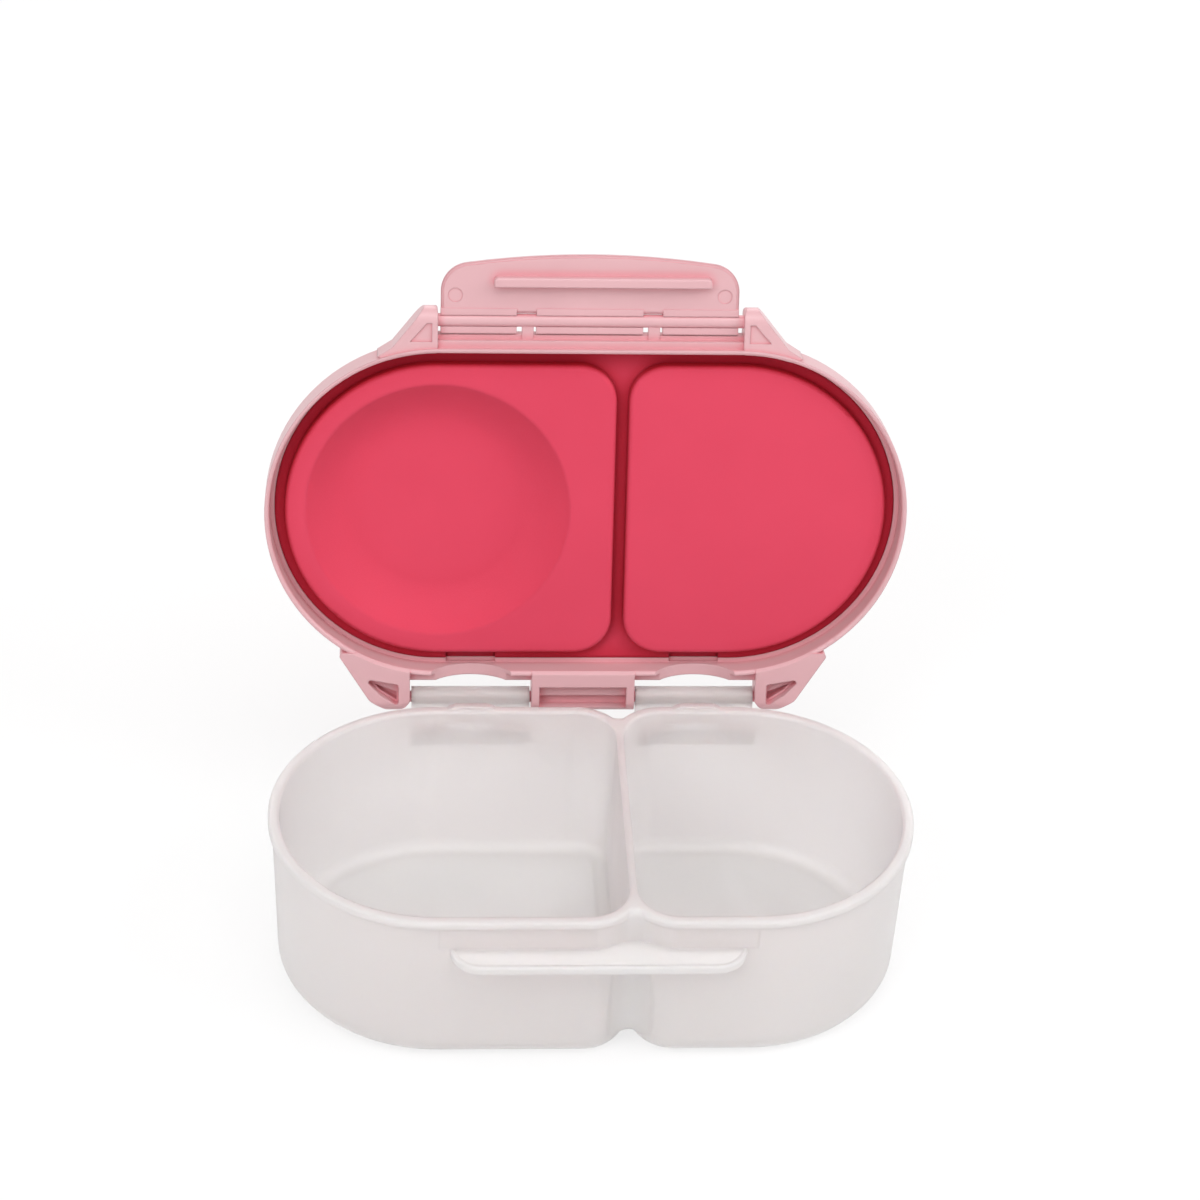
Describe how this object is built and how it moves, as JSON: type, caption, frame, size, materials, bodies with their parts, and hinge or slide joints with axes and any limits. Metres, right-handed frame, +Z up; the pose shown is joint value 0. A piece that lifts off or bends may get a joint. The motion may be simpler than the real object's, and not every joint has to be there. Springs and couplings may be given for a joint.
{
  "type": "snack container",
  "caption": "Oval two-cup snack box with a hinged clip-on lid, a silicone lining with a round stretch dish, and a latch flap.",
  "frame": {"origin": "On the floor plane, under the middle of the tub's rim outline, which lies on the flat foot of the larger cup.", "axes": "+X along the box's width towards the smaller cup, +Y from the latch side towards the hinge, +Z up."},
  "size_m": [0.19, 0.1524, 0.1814],
  "materials": {
    "frosted_plastic": "frosted, translucent",
    "pink_plastic": "satin",
    "rose_silicone": "matt silicone"
  },
  "bodies": {
    "tub": {"tub": "frosted_plastic"},
    "lid": {"lid": "pink_plastic", "silicone_lining": "rose_silicone"},
    "latch": {"latch_flap": "pink_plastic"}
  },
  "joints": [
    {"name": "lid_hinge", "type": "hinge", "parent": "tub", "child": "lid", "pos_m": [0, 0.059, 0.049], "axis": [1, 0, 0], "range_deg": [0, 105]},
    {"name": "latch_hinge", "type": "hinge", "parent": "lid", "child": "latch", "pos_m": [0, 0.09076, 0.16213], "axis": [1, 0, 0], "range_deg": [-60, 90]}
  ]
}
